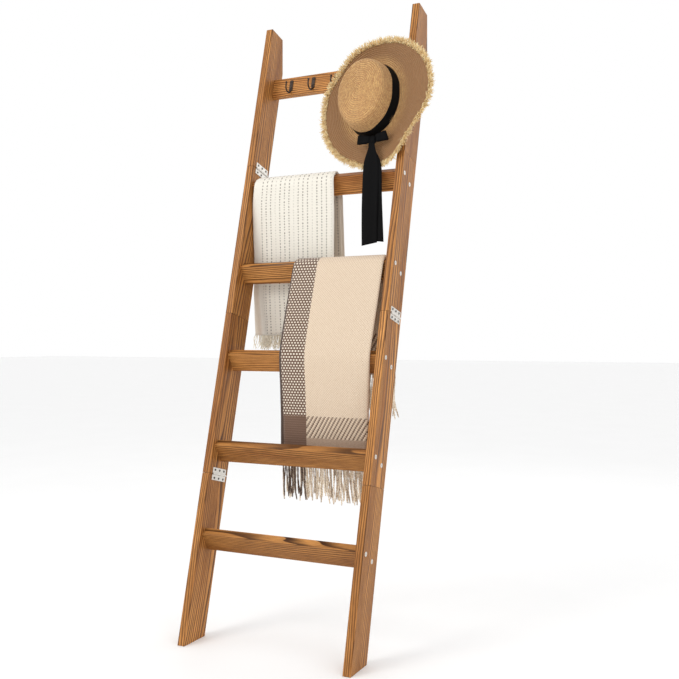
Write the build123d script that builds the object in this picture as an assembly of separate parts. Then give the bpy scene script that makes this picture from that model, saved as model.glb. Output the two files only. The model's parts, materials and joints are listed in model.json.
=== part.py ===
from build123d import *
import os
from math import cos, radians, sin, sqrt, tan

# Leaning blanket ladder with two folded throws and a straw hat hung on it.
# Millimetres. +Z is up, +X runs along the rungs, +Y points back to the wall.
# Origin: on the floor, midway between the rails, on the line of the feet's front edges.
# Ladder coordinates (x, depth, along): depth runs back from the rails' front face and
# along runs up the rail. One rotation by the lean turns them into the part's frame.

# ---- driving dimensions: ladder
LEAN = 14.5                    # degrees from plumb
OVERALL_WIDTH = 500.0
RAIL_THICKNESS = 22.0
RAIL_DEPTH = 90.0
RAIL_LENGTH = 1800.0
SECTION_COUNT = 4
SECTION_GAP = 0.8              # saw-cut gap between two rail sections
WALL_BEVEL = 104.0             # height of the upright cut at the rail's rear top corner
EDGE_ROUND = 1.5

RUNG_FACE = 56.0               # wide side of the rung's section
RUNG_EDGE = 24.0               # narrow side
RUNG_TWIST = 45.0              # degrees from the rail's axis to the rung's wide side
RUNG_SETBACK = 8.3             # rail's front face to the rung's front top corner
RUNG_PLACES = (288.0, 526.0, 782.0, 1038.0, 1294.0)

BOARD_BOTTOM = 1596.0
BOARD_HEIGHT = 59.0
BOARD_SETBACK = 49.0
BOARD_THICKNESS = 18.0

# ---- driving dimensions: fasteners
SCREW_SHANK = 5.0              # hex-drive connector screws
SCREW_HEAD = 12.0
SCREW_HEAD_THICKNESS = 2.0
SCREW_HEAD_PROUD = 0.6
SCREW_LENGTH = 60.0
SCREW_HEX = 4.0
SCREW_HEX_DEPTH = 1.5
SCREW_HEAD_ROUND = 0.5
SCREW_HOLE_EXTRA = 2.0         # blind hole past the screw's end
SCREW_SPREAD = 22.0            # screw centre to the rung's centre, along the section's diagonal
BOARD_SCREW_SPREAD = 17.0
HOLE_CLEARANCE = 0.1

# ---- driving dimensions: butt hinges
HINGE_LENGTH = 64.0            # along the rail's depth
HINGE_LEAF = 17.0              # pin centre to the leaf's free edge
HINGE_THICKNESS = 1.6
HINGE_BARREL = 5.0
HINGE_PIN = 2.4
HINGE_PIN_PROUD = 1.5
HINGE_SETBACK = 15.0           # rail's front face to the hinge's front end
KNUCKLE_COUNT = 5
KNUCKLE_GAP = 0.4
LEAF_SCREW_COUNT = 3
LEAF_SCREW_HEAD = 6.0
LEAF_SCREW_HEAD_THICKNESS = 0.9
LEAF_SCREW_LENGTH = 12.0
LEAF_SCREW_SHANK = 2.4
BARREL_CLEARANCE = 0.3

# ---- driving dimensions: hooks
HOOK_COUNT = 5
HOOK_PITCH = 75.0
HOOK_GROUP_SHIFT = -15.0       # the row of hooks sits a little left of the middle
HOOK_PLATE_WIDTH = 11.0
HOOK_PLATE_HEIGHT = 34.0
HOOK_PLATE_THICKNESS = 2.4
HOOK_PLATE_CORNER = 2.5
HOOK_REACH = 33.0
HOOK_ROD = 4.4
HOOK_BALL = 6.4
HOOK_ALONG = 1627.0
HOOK_VALLEY_RISE = 2.0         # plate's lower edge to where the J starts to curve
HOOK_TIP_RISE = 10.0           # straight stretch under the tip's ball
HOOK_SCREW_HEAD = 5.6
HOOK_SCREW_HEAD_THICKNESS = 1.2
HOOK_SCREW_SHANK = 2.4
HOOK_SCREW_LENGTH = 12.0
HOOK_SCREW_SPREAD = 9.0
HOOK_SCREW_SHIFT = 2.5         # pair of screws above the plate's middle, clear of the rod

# ---- driving dimensions: throws
CLOTH_SLOPE = 0.07             # how far the hanging cloth runs back for each mm that it falls
CLOTH_THICKNESS = 11.0         # folded stack
CLOTH_CLEARANCE = 0.5
WHITE_LEFT = -226.0
WHITE_RIGHT = 48.0
WHITE_FRONT_HEM = 832.0
WHITE_BACK_HEM = 852.0
WHITE_FRINGE = 50.0
BEIGE_LEFT = -50.0
BEIGE_RIGHT = 222.0
BEIGE_FRONT_HEM = 480.0
BEIGE_BACK_HEM = 700.0
BEIGE_FRINGE = 128.0
FRINGE_THICKNESS = 6.0

# ---- driving dimensions: hat
HAT_CENTRE_X = 145.0
HAT_CENTRE_ALONG = 1516.0
HAT_DEPTH = -9.0               # brim plane, in front of the rails
HAT_LEAN = 10.0
HAT_TURN = 8.0
CROWN_HALF_WIDTH = 82.0
CROWN_HALF_HEIGHT = 104.0
CROWN_TOP_SHRINK = 10.0
CROWN_HEIGHT = 80.0
CROWN_ROUND = 22.0
STRAW_THICKNESS = 3.0
BRIM_HALF_WIDTH = 184.0
BRIM_HALF_HEIGHT = 194.0
BRIM_SHIFT = (6.0, -8.0)
BRIM_THICKNESS = 4.0
SWEATBAND_WIDTH = 48.0
SWEATBAND_BEHIND = 34.0        # length turned out behind the brim, over the hook
SWEATBAND_THICKNESS = 1.0
SWEATBAND_GAP = 2.0
CREASE_GAP = 1.0
RIBBON_WIDTH = 34.0
RIBBON_THICKNESS = 1.6
RIBBON_GAP = 0.1
RIBBON_LIFT = 3.0
BOW_SHIFT = 22.0               # the bow sits right of the crown's lowest point
BOW_DROP = 14.0
BOW_LIFT = 1.0
BOW_WIDTH = 100.0
BOW_HEIGHT = 26.0
BOW_THICKNESS = 14.0
BOW_ROUND = 8.0
TAIL_WIDTH = 56.0
TAIL_LENGTH = 288.0
TAIL_THICKNESS = 8.0
TAIL_GAP = 8.0

# ---- worked-out dimensions
INNER_HALF = OVERALL_WIDTH / 2 - RAIL_THICKNESS
SECTION_LENGTH = RAIL_LENGTH / SECTION_COUNT
REAR_CORNER_Y = RAIL_LENGTH * sin(radians(LEAN)) + RAIL_DEPTH * cos(radians(LEAN))
WALL_Y = REAR_CORNER_Y - WALL_BEVEL * tan(radians(LEAN))
BOW_TOP = -CROWN_HALF_HEIGHT - RIBBON_THICKNESS - BOW_DROP
SIDES = {"left": -1, "right": 1}
SECTION_NAMES = ("bottom", "lower", "upper", "top")
BIG = 4000.0


def in_part_frame(shape):
    """Turn a shape from ladder coordinates into the part's frame."""
    return Rot(X=-LEAN) * shape


def ladder_point(depth, along):
    """Y and Z in the part's frame of a point in the ladder's side view."""
    y = along * sin(radians(LEAN)) + depth * cos(radians(LEAN))
    z = along * cos(radians(LEAN)) - depth * sin(radians(LEAN))
    return y, z


def block(x, y, z):
    """A box between three (low, high) pairs."""
    size = [high - low for low, high in (x, y, z)]
    centre = [(high + low) / 2 for low, high in (x, y, z)]
    return Pos(*centre) * Box(*size)


def rounded_long_edges(shape, axis, radius):
    return fillet(shape.edges().filter_by(axis), radius)


def keep(name, shape):
    """Write one node."""
    shape.label = name
    export_step(shape, os.path.join("parts", name + ".step"))


def along_x(x, depth, along, radius, length, outward):
    """A cylinder on an X axis that starts at x and runs away from it by length."""
    centre_x = x - outward * length / 2
    return Pos(centre_x, depth, along) * Rot(Y=90) * Cylinder(radius, length)


# ---- rungs: a board turned so that its section stands at RUNG_TWIST to the rails
def rung_axes():
    """Unit vectors (depth, along) down the wide side and across the narrow side."""
    down = (sin(radians(RUNG_TWIST)), -cos(radians(RUNG_TWIST)))
    across = (cos(radians(RUNG_TWIST)), sin(radians(RUNG_TWIST)))
    return down, across


def rung_corner(place, down_share, across_share):
    """A corner or inner point of a rung's section, as (depth, along)."""
    down, across = rung_axes()
    depth = RUNG_SETBACK + RUNG_FACE * down_share * down[0] + RUNG_EDGE * across_share * across[0]
    along = place + RUNG_FACE * down_share * down[1] + RUNG_EDGE * across_share * across[1]
    return depth, along


def rung_screw_places(place):
    """Two screw centres on the section's diagonal, upper front and lower back."""
    depth, along = rung_corner(place, 0.5, 0.5)
    corner_depth, corner_along = rung_corner(place, 1, 1)
    reach = sqrt((corner_depth - depth) ** 2 + (corner_along - along) ** 2)
    share = SCREW_SPREAD / reach
    step = ((corner_depth - depth) * share, (corner_along - along) * share)
    return [(depth + sign * step[0], along + sign * step[1]) for sign in (-1, 1)]


def rung(place):
    depth, along = rung_corner(place, 0.5, 0.5)
    bar = Box(2 * INNER_HALF, RUNG_EDGE, RUNG_FACE)
    bar = rounded_long_edges(bar, Axis.X, EDGE_ROUND)
    bar = Pos(0, depth, along) * Rot(X=RUNG_TWIST) * bar
    for hole in rung_screw_places(place):
        bar -= screw_hole_pair(*hole)
    return bar


def screw_hole_pair(depth, along):
    """Blind holes for the shanks, in from both ends of a rung or board."""
    reach = SCREW_LENGTH - RAIL_THICKNESS + SCREW_HOLE_EXTRA
    holes = [
        along_x(sign * INNER_HALF, depth, along, SCREW_SHANK / 2 + HOLE_CLEARANCE, reach, sign)
        for sign in SIDES.values()
    ]
    return Compound(children=holes)


def board_screw_places():
    depth = BOARD_SETBACK + BOARD_THICKNESS / 2
    middle = BOARD_BOTTOM + BOARD_HEIGHT / 2
    return [(depth, middle + sign * BOARD_SCREW_SPREAD) for sign in (1, -1)]


def hook_board():
    board = block(
        (-INNER_HALF, INNER_HALF),
        (BOARD_SETBACK, BOARD_SETBACK + BOARD_THICKNESS),
        (BOARD_BOTTOM, BOARD_BOTTOM + BOARD_HEIGHT),
    )
    board = rounded_long_edges(board, Axis.X, EDGE_ROUND)
    for hole in board_screw_places():
        board -= screw_hole_pair(*hole)
    for x in hook_places():
        for z in hook_screw_places():
            board -= hook_screw_hole(x, z)
    return board


def connector_screw(side, depth, along):
    """Flat-head screw with a hex socket, through the rail into a rung's end."""
    face = side * OVERALL_WIDTH / 2
    crown = face + side * SCREW_HEAD_PROUD
    head = along_x(crown, depth, along, SCREW_HEAD / 2, SCREW_HEAD_THICKNESS, side)
    head = fillet(head.edges().sort_by(Axis.X)[-1 if side > 0 else 0], SCREW_HEAD_ROUND)
    shank = along_x(face, depth, along, SCREW_SHANK / 2, SCREW_LENGTH, side)
    hexagon = RegularPolygon(SCREW_HEX / 2, 6, major_radius=False)
    socket = Plane((crown, depth, along), z_dir=(-side, 0, 0)) * hexagon
    return head + shank - extrude(socket, SCREW_HEX_DEPTH)


# ---- rails
def screw_places():
    """Every connector screw's place through a rail, as (depth, along)."""
    places = [spot for place in RUNG_PLACES for spot in rung_screw_places(place)]
    return places + board_screw_places()


def rail_hole(side, depth, along):
    face = side * OVERALL_WIDTH / 2
    seat_radius = SCREW_HEAD / 2 + 2 * HOLE_CLEARANCE
    seat_depth = SCREW_HEAD_THICKNESS - SCREW_HEAD_PROUD + HOLE_CLEARANCE
    bore_radius = SCREW_SHANK / 2 + 2 * HOLE_CLEARANCE
    seat = along_x(face, depth, along, seat_radius, seat_depth, side)
    bore = along_x(face, depth, along, bore_radius, RAIL_THICKNESS, side)
    return seat + bore


def rail_section(side, index):
    low = index * SECTION_LENGTH + (SECTION_GAP / 2 if index else -RAIL_DEPTH)
    last = index == SECTION_COUNT - 1
    high = (index + 1) * SECTION_LENGTH - (0 if last else SECTION_GAP / 2)
    inner = side * INNER_HALF
    outer = side * OVERALL_WIDTH / 2
    pilot_radius = LEAF_SCREW_SHANK / 2 + HOLE_CLEARANCE
    piece = block((min(inner, outer), max(inner, outer)), (0, RAIL_DEPTH), (low, high))
    piece = rounded_long_edges(piece, Axis.Z, EDGE_ROUND)
    for depth, along in screw_places():
        if low < along < high:
            piece -= rail_hole(side, depth, along)
    for station, facing in hinge_stations(side):
        face = hinge_face(side, facing)
        for leaf_sign in (-1, 1):
            for depth, along in leaf_screw_places(station, leaf_sign):
                if low < along < high:
                    piece -= along_x(face, depth, along, pilot_radius, LEAF_SCREW_LENGTH, facing)
    piece = in_part_frame(piece)
    piece -= Pos(0, 0, -BIG / 2) * Box(BIG, BIG, BIG)
    piece -= Pos(0, WALL_Y + BIG / 2, 0) * Box(BIG, BIG, BIG)
    return piece


# ---- hinges: upper and lower on the rails' inner faces, middle on the outer faces
def hinge_stations(side):
    """(station, direction the hinge's face looks) at each split between two sections."""
    return [(index, side if index == 2 else -side) for index in range(1, SECTION_COUNT)]


def hinge_face(side, facing):
    return side * (OVERALL_WIDTH / 2 if facing == side else INNER_HALF)


def leaf_screw_places(station, leaf_sign):
    along = station * SECTION_LENGTH + leaf_sign * (HINGE_BARREL + HINGE_LEAF) / 2
    pitch = HINGE_LENGTH / LEAF_SCREW_COUNT
    return [(HINGE_SETBACK + pitch * (index + 0.5), along) for index in range(LEAF_SCREW_COUNT)]


def hinge_leaf(side, station, facing, leaf_sign):
    """One leaf with its knuckles: the upper leaf has the odd ones, the lower leaf the even ones."""
    face = hinge_face(side, facing)
    split = station * SECTION_LENGTH
    outer = face + facing * HINGE_THICKNESS
    near = split + leaf_sign * (HINGE_BARREL / 2 + KNUCKLE_GAP)
    far = split + leaf_sign * HINGE_LEAF
    plate = (min(face, outer), max(face, outer))
    depths = (HINGE_SETBACK, HINGE_SETBACK + HINGE_LENGTH)
    leaf = block(plate, depths, (min(near, far), max(near, far)))
    pin_x = face + facing * HINGE_BARREL / 2
    pitch = HINGE_LENGTH / KNUCKLE_COUNT
    for index in range(KNUCKLE_COUNT):
        if (index % 2 == 0) == (leaf_sign > 0):
            start = HINGE_SETBACK + index * pitch + KNUCKLE_GAP / 2
            end = start + pitch - KNUCKLE_GAP
            barrel = Cylinder(HINGE_BARREL / 2, end - start)
            leaf += Pos(pin_x, (start + end) / 2, split) * Rot(X=90) * barrel
            leaf += block(plate, (start, end), (min(split, near), max(split, near)))
    leaf -= Pos(pin_x, 0, split) * Rot(X=90) * Cylinder(HINGE_PIN / 2 + HOLE_CLEARANCE / 2, BIG)
    hole_radius = LEAF_SCREW_SHANK / 2 + BARREL_CLEARANCE
    for depth, along in leaf_screw_places(station, leaf_sign):
        leaf -= along_x(outer, depth, along, hole_radius, 2 * HINGE_THICKNESS, facing)
    return leaf


def hinge_pin(side, station, facing):
    pin_x = hinge_face(side, facing) + facing * HINGE_BARREL / 2
    length = HINGE_LENGTH + 2 * HINGE_PIN_PROUD
    middle = HINGE_SETBACK + HINGE_LENGTH / 2
    return Pos(pin_x, middle, station * SECTION_LENGTH) * Rot(X=90) * Cylinder(HINGE_PIN / 2, length)


def leaf_screws(side, station, facing):
    """Six flat-topped screws that hold one hinge."""
    outer = hinge_face(side, facing) + facing * HINGE_THICKNESS
    top = outer + facing * LEAF_SCREW_HEAD_THICKNESS
    screws = []
    for leaf_sign in (-1, 1):
        for depth, along in leaf_screw_places(station, leaf_sign):
            head = along_x(top, depth, along, LEAF_SCREW_HEAD / 2, LEAF_SCREW_HEAD_THICKNESS, facing)
            shank = along_x(outer, depth, along, LEAF_SCREW_SHANK / 2, LEAF_SCREW_LENGTH, facing)
            screws.append(head + shank)
    return screws


# ---- hooks: a plate on the board with a J of round rod under it
def hook_places():
    first = HOOK_GROUP_SHIFT - HOOK_PITCH * (HOOK_COUNT - 1) / 2
    return [first + HOOK_PITCH * index for index in range(HOOK_COUNT)]


def hook_screw_places():
    return [HOOK_ALONG + HOOK_SCREW_SHIFT + sign * HOOK_SCREW_SPREAD for sign in (1, -1)]


def hook_screw_hole(x, z):
    radius = HOOK_SCREW_SHANK / 2 + HOLE_CLEARANCE
    return Pos(x, BOARD_SETBACK, z) * Rot(X=90) * Cylinder(radius, 2 * HOOK_SCREW_LENGTH)


def hook(x):
    low = HOOK_ALONG - HOOK_PLATE_HEIGHT / 2
    plate = block(
        (x - HOOK_PLATE_WIDTH / 2, x + HOOK_PLATE_WIDTH / 2),
        (BOARD_SETBACK - HOOK_PLATE_THICKNESS, BOARD_SETBACK),
        (low, low + HOOK_PLATE_HEIGHT),
    )
    plate = fillet(plate.edges().filter_by(Axis.Y), HOOK_PLATE_CORNER)
    for z in hook_screw_places():
        plate -= hook_screw_hole(x, z)
    root = BOARD_SETBACK - HOOK_PLATE_THICKNESS / 2 - HOOK_ROD / 4
    tip = BOARD_SETBACK - HOOK_REACH + HOOK_ROD / 2
    bend = (root - tip) / 2
    valley = low + HOOK_VALLEY_RISE
    start = valley + HOOK_ROD
    path = Plane.YZ.offset(x) * (
        Line((root, start), (root, valley))
        + RadiusArc((root, valley), (tip, valley), bend)
        + Line((tip, valley), (tip, valley + HOOK_TIP_RISE))
    )
    ring = Plane((x, root, start), x_dir=(1, 0, 0), z_dir=(0, 0, -1)) * Circle(HOOK_ROD / 2)
    rod = sweep(ring, path)
    ball = Pos(x, tip, valley + HOOK_TIP_RISE) * Sphere(HOOK_BALL / 2)
    return plate + rod + ball


def hook_screws():
    face = BOARD_SETBACK - HOOK_PLATE_THICKNESS
    head = Cylinder(HOOK_SCREW_HEAD / 2, HOOK_SCREW_HEAD_THICKNESS)
    shank = Cylinder(HOOK_SCREW_SHANK / 2, HOOK_SCREW_LENGTH)
    screws = []
    for x in hook_places():
        for z in hook_screw_places():
            screw = Pos(x, face - HOOK_SCREW_HEAD_THICKNESS / 2, z) * Rot(X=90) * head
            screw += Pos(x, face + HOOK_SCREW_LENGTH / 2, z) * Rot(X=90) * shank
            screws.append(screw)
    return screws


# ---- throws: a folded stack laid over a rung, its two ends hanging
def offset_line(points, distance):
    """Points moved sideways by distance, to the left of the way they run, with mitred corners."""
    moved = []
    for index, point in enumerate(points):
        before = points[max(index - 1, 0)]
        after = points[min(index + 1, len(points) - 1)]
        normals = []
        for start, end in ((before, point), (point, after)):
            run = sqrt((end[0] - start[0]) ** 2 + (end[1] - start[1]) ** 2)
            if run > 0:
                normals.append(((start[1] - end[1]) / run, (end[0] - start[0]) / run))
        mean = [sum(part) / len(normals) for part in zip(*normals)]
        square = mean[0] ** 2 + mean[1] ** 2
        moved.append((point[0] + mean[0] / square * distance, point[1] + mean[1] / square * distance))
    return moved


def draped_slab(inner, thickness, left, right):
    """A slab whose under side follows the (y, z) points of inner."""
    outline = inner + offset_line(inner, thickness)[::-1]
    face = make_face(Plane.YZ.offset(left) * Polyline(*outline, close=True))
    return extrude(face, right - left, dir=(1, 0, 0))


def rung_point(place, down_share, across_share):
    return ladder_point(*rung_corner(place, down_share, across_share))


def hang_to(start, z):
    """Where cloth that hangs from start reaches height z."""
    return start[0] + (start[1] - z) * CLOTH_SLOPE, z


def over_rung(place):
    """Clear of the rung: front top corner, back top corner and rearmost corner."""
    front = rung_point(place, 0, 0)
    crest = rung_point(place, 0, 1)
    rear = rung_point(place, 1, 1)
    gap = CLOTH_CLEARANCE
    return (
        (front[0] - gap, front[1] + gap),
        (crest[0] + gap, crest[1] + 2 * gap),
        (rear[0] + gap, rear[1]),
    )


def white_line():
    front, crest, rear = over_rung(RUNG_PLACES[4])
    return [hang_to(front, WHITE_FRONT_HEM), front, crest, rear, hang_to(rear, WHITE_BACK_HEM)]


def beige_line():
    front, crest, rear = over_rung(RUNG_PLACES[3])
    lower_front = over_rung(RUNG_PLACES[2])[0]
    front_hem = hang_to(lower_front, BEIGE_FRONT_HEM)
    return [front_hem, lower_front, front, crest, rear, hang_to(rear, BEIGE_BACK_HEM)]


def fringe_slab(line, first, length, left, right):
    """The strands below a hem, as one thin slab in line with the cloth's middle."""
    hem_y, hem_z = line[0] if first else line[-1]
    outward = -1 if first else 1
    top = (hem_y + outward * CLOTH_THICKNESS / 2, hem_z - CLOTH_THICKNESS * CLOTH_SLOPE)
    bottom = hang_to(top, top[1] - length)
    half = FRINGE_THICKNESS / 2
    outline = [
        (top[0] - half, top[1]),
        (top[0] + half, top[1]),
        (bottom[0] + half, bottom[1]),
        (bottom[0] - half, bottom[1]),
    ]
    face = make_face(Plane.YZ.offset(left) * Polyline(*outline, close=True))
    return extrude(face, right - left, dir=(1, 0, 0))


def both_fringes(line, length, left, right):
    slabs = [fringe_slab(line, first, length, left, right) for first in (True, False)]
    return Compound(children=slabs)


# ---- hat, in its own frame: +Z out of the crown, X across, Y up the brim
def hat_frame():
    y, z = ladder_point(HAT_DEPTH, HAT_CENTRE_ALONG)
    return Location((HAT_CENTRE_X, y, z)) * Rot(Z=-HAT_TURN) * Rot(X=90 - HAT_LEAN)


def oval_cone(half_width, half_height, height, shrink):
    base = Ellipse(half_width, half_height)
    top = Pos(0, 0, height) * Ellipse(half_width - shrink, half_height - shrink)
    return loft([base.face(), top.face()], ruled=True)


def crown_shell():
    wall = STRAW_THICKNESS
    outer = oval_cone(CROWN_HALF_WIDTH, CROWN_HALF_HEIGHT, CROWN_HEIGHT, CROWN_TOP_SHRINK)
    outer = fillet(outer.edges().sort_by(Axis.Z)[-1], CROWN_ROUND)
    width, height = CROWN_HALF_WIDTH - wall, CROWN_HALF_HEIGHT - wall
    inner = oval_cone(width, height, CROWN_HEIGHT - wall, CROWN_TOP_SHRINK)
    inner = fillet(inner.edges().sort_by(Axis.Z)[-1], CROWN_ROUND - wall)
    return outer - inner


def brim_disc():
    disc = extrude(Pos(*BRIM_SHIFT) * Ellipse(BRIM_HALF_WIDTH, BRIM_HALF_HEIGHT), -BRIM_THICKNESS)
    opening = Ellipse(CROWN_HALF_WIDTH - STRAW_THICKNESS, CROWN_HALF_HEIGHT - STRAW_THICKNESS)
    return disc - extrude(opening, -2 * BRIM_THICKNESS)


def sweatband():
    """Leather band inside the crown, turned out behind the brim and creased over the last hook."""
    half_width = CROWN_HALF_WIDTH - STRAW_THICKNESS - SWEATBAND_GAP
    half_height = CROWN_HALF_HEIGHT - STRAW_THICKNESS - SWEATBAND_GAP
    hollow = Ellipse(half_width - SWEATBAND_THICKNESS, half_height - SWEATBAND_THICKNESS)
    ring = Ellipse(half_width, half_height) - hollow
    band = hat_frame() * (Pos(0, 0, -SWEATBAND_BEHIND) * extrude(ring, SWEATBAND_WIDTH))
    crease_half = HOOK_BALL / 2 + CREASE_GAP
    x = hook_places()[-1]
    crease = block(
        (x - crease_half, x + crease_half),
        (BOARD_SETBACK - HOOK_REACH - 2 * CREASE_GAP, BOARD_SETBACK),
        (HOOK_ALONG - HOOK_PLATE_HEIGHT, HOOK_ALONG + HOOK_PLATE_HEIGHT),
    )
    return band - in_part_frame(crease)


def ribbon_solid(grow):
    """What the ribbon's outer or inner face bounds, grow mm outside the crown."""
    slope = CROWN_TOP_SHRINK / CROWN_HEIGHT
    low = grow - RIBBON_LIFT * slope
    width, height = CROWN_HALF_WIDTH + low, CROWN_HALF_HEIGHT + low
    return Pos(0, 0, RIBBON_LIFT) * oval_cone(width, height, RIBBON_WIDTH, RIBBON_WIDTH * slope)


def ribbon_band():
    return ribbon_solid(RIBBON_GAP + RIBBON_THICKNESS) - ribbon_solid(RIBBON_GAP)


def bow():
    """Two loops and a knot under the crown."""
    loops = block(
        (BOW_SHIFT - BOW_WIDTH / 2, BOW_SHIFT + BOW_WIDTH / 2),
        (BOW_TOP - BOW_HEIGHT, BOW_TOP),
        (BOW_LIFT, BOW_LIFT + BOW_THICKNESS),
    )
    return fillet(loops.edges().filter_by(Axis.Z), BOW_ROUND)


def tails():
    """Two ribbon ends that hang plumb from the knot, in front of the ladder."""
    lift = BOW_LIFT + BOW_THICKNESS + TAIL_GAP
    knot = (hat_frame() * Pos(BOW_SHIFT, BOW_TOP - BOW_HEIGHT / 2, lift)).position
    return block(
        (knot.X - TAIL_WIDTH / 2, knot.X + TAIL_WIDTH / 2),
        (knot.Y - TAIL_THICKNESS, knot.Y),
        (knot.Z - TAIL_LENGTH, knot.Z),
    )


# ---- write every node
os.makedirs("parts", exist_ok=True)

for side_name, side in SIDES.items():
    for index, section in enumerate(SECTION_NAMES):
        keep(f"{side_name}_rail_{section}", rail_section(side, index))
    rung_screws = [
        connector_screw(side, *spot) for place in RUNG_PLACES for spot in rung_screw_places(place)
    ]
    keep(f"{side_name}_rung_screws", in_part_frame(Compound(children=rung_screws)))
    board_screws = [connector_screw(side, *spot) for spot in board_screw_places()]
    keep(f"{side_name}_board_screws", in_part_frame(Compound(children=board_screws)))
    hinge_screws = []
    for station, facing in hinge_stations(side):
        hinge_name = f"{side_name}_hinge_{station}"
        keep(f"{hinge_name}_lower_leaf", in_part_frame(hinge_leaf(side, station, facing, -1)))
        keep(f"{hinge_name}_upper_leaf", in_part_frame(hinge_leaf(side, station, facing, 1)))
        keep(f"{hinge_name}_pin", in_part_frame(hinge_pin(side, station, facing)))
        hinge_screws += leaf_screws(side, station, facing)
    keep(f"{side_name}_hinge_screws", in_part_frame(Compound(children=hinge_screws)))

for number, place in enumerate(RUNG_PLACES, start=1):
    keep(f"rung_{number}", in_part_frame(rung(place)))

keep("hook_board", in_part_frame(hook_board()))
for number, x in enumerate(hook_places(), start=1):
    keep(f"hook_{number}", in_part_frame(hook(x)))
keep("hook_screws", in_part_frame(Compound(children=hook_screws())))

keep("white_throw", draped_slab(white_line(), CLOTH_THICKNESS, WHITE_LEFT, WHITE_RIGHT))
keep("white_throw_fringe", both_fringes(white_line(), WHITE_FRINGE, WHITE_LEFT, WHITE_RIGHT))

keep("beige_throw", draped_slab(beige_line(), CLOTH_THICKNESS, BEIGE_LEFT, BEIGE_RIGHT))
keep("beige_throw_fringe", both_fringes(beige_line(), BEIGE_FRINGE, BEIGE_LEFT, BEIGE_RIGHT))

keep("hat_straw", hat_frame() * (crown_shell() + brim_disc()))
keep("hat_sweatband", sweatband())
keep("hat_ribbon_band", hat_frame() * ribbon_band())
keep("hat_bow", hat_frame() * bow())
keep("hat_ribbon_tails", tails())
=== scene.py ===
import json
import math
import random

import bpy
import numpy as np
from mathutils import Matrix, Vector

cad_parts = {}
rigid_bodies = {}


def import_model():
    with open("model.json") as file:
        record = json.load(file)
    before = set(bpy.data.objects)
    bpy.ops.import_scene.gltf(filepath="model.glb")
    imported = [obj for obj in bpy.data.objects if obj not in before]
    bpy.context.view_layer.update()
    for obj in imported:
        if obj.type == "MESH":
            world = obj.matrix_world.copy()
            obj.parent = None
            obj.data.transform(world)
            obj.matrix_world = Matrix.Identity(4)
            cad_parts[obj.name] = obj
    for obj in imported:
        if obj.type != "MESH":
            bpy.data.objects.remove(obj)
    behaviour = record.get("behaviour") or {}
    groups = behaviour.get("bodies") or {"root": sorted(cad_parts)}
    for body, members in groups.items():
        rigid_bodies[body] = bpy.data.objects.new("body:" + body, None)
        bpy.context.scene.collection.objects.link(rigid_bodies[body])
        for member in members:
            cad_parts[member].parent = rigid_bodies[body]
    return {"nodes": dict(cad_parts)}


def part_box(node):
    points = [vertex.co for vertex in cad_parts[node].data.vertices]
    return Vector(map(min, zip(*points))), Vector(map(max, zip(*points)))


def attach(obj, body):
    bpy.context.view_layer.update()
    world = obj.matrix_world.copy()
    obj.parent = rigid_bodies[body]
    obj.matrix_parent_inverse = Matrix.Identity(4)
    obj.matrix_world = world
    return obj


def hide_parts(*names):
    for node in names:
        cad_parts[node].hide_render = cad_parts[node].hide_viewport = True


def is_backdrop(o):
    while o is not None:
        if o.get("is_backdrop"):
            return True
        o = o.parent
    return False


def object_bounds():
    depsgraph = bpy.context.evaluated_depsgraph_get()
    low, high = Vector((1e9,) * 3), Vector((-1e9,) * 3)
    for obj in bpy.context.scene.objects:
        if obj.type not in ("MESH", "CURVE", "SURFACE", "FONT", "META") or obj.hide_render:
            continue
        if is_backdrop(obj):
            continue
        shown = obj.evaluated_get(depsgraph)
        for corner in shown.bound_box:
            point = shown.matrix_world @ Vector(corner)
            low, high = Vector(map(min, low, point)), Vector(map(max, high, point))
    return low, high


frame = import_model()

# Metres. +Z up, +X along the rungs, +Y back to the wall the ladder leans on.
cad_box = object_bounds()

LEAN = math.radians(14.5)    # of the rails, back from upright

# ---------------------------------------------------------------- camera, light, floor
camera_data = bpy.data.cameras.new("camera")
camera_data.lens = 46.77
camera_data.sensor_width = 36.0
camera_data.clip_start = 0.05
camera = bpy.data.objects.new("camera", camera_data)
camera.location = (1.14475, -1.87305, 0.79599)
camera.rotation_euler = (math.radians(90.0), 0.0, math.radians(26.25))
bpy.context.scene.collection.objects.link(camera)
bpy.context.scene.camera = camera
bpy.context.scene.view_settings.view_transform = "Standard"


def area_light(name, place, target, size, power, colour=(1.0, 1.0, 1.0)):
    data = bpy.data.lights.new(name, "AREA")
    data.shape = "SQUARE"
    data.size = size
    data.energy = power
    data.color = colour
    light = bpy.data.objects.new(name, data)
    light.location = place
    light.rotation_euler = (Vector(target) - Vector(place)).to_track_quat("-Z", "Y").to_euler()
    bpy.context.scene.collection.objects.link(light)


area_light("key", (-1.6, -2.4, 2.6), (0.0, 0.2, 0.9), 1.3, 34.0, (1.0, 0.98, 0.95))
area_light("fill", (2.4, -1.6, 1.8), (0.0, 0.2, 0.9), 2.2, 6.0)
area_light("back", (0.6, 2.6, 2.4), (0.0, 0.3, 0.9), 2.2, 8.0)

world = bpy.data.worlds.new("world")
world.use_nodes = True
world.node_tree.nodes["Background"].inputs["Color"].default_value = (1.0, 1.0, 1.0, 1.0)
world.node_tree.nodes["Background"].inputs["Strength"].default_value = 1.0
bpy.context.scene.world = world


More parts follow.
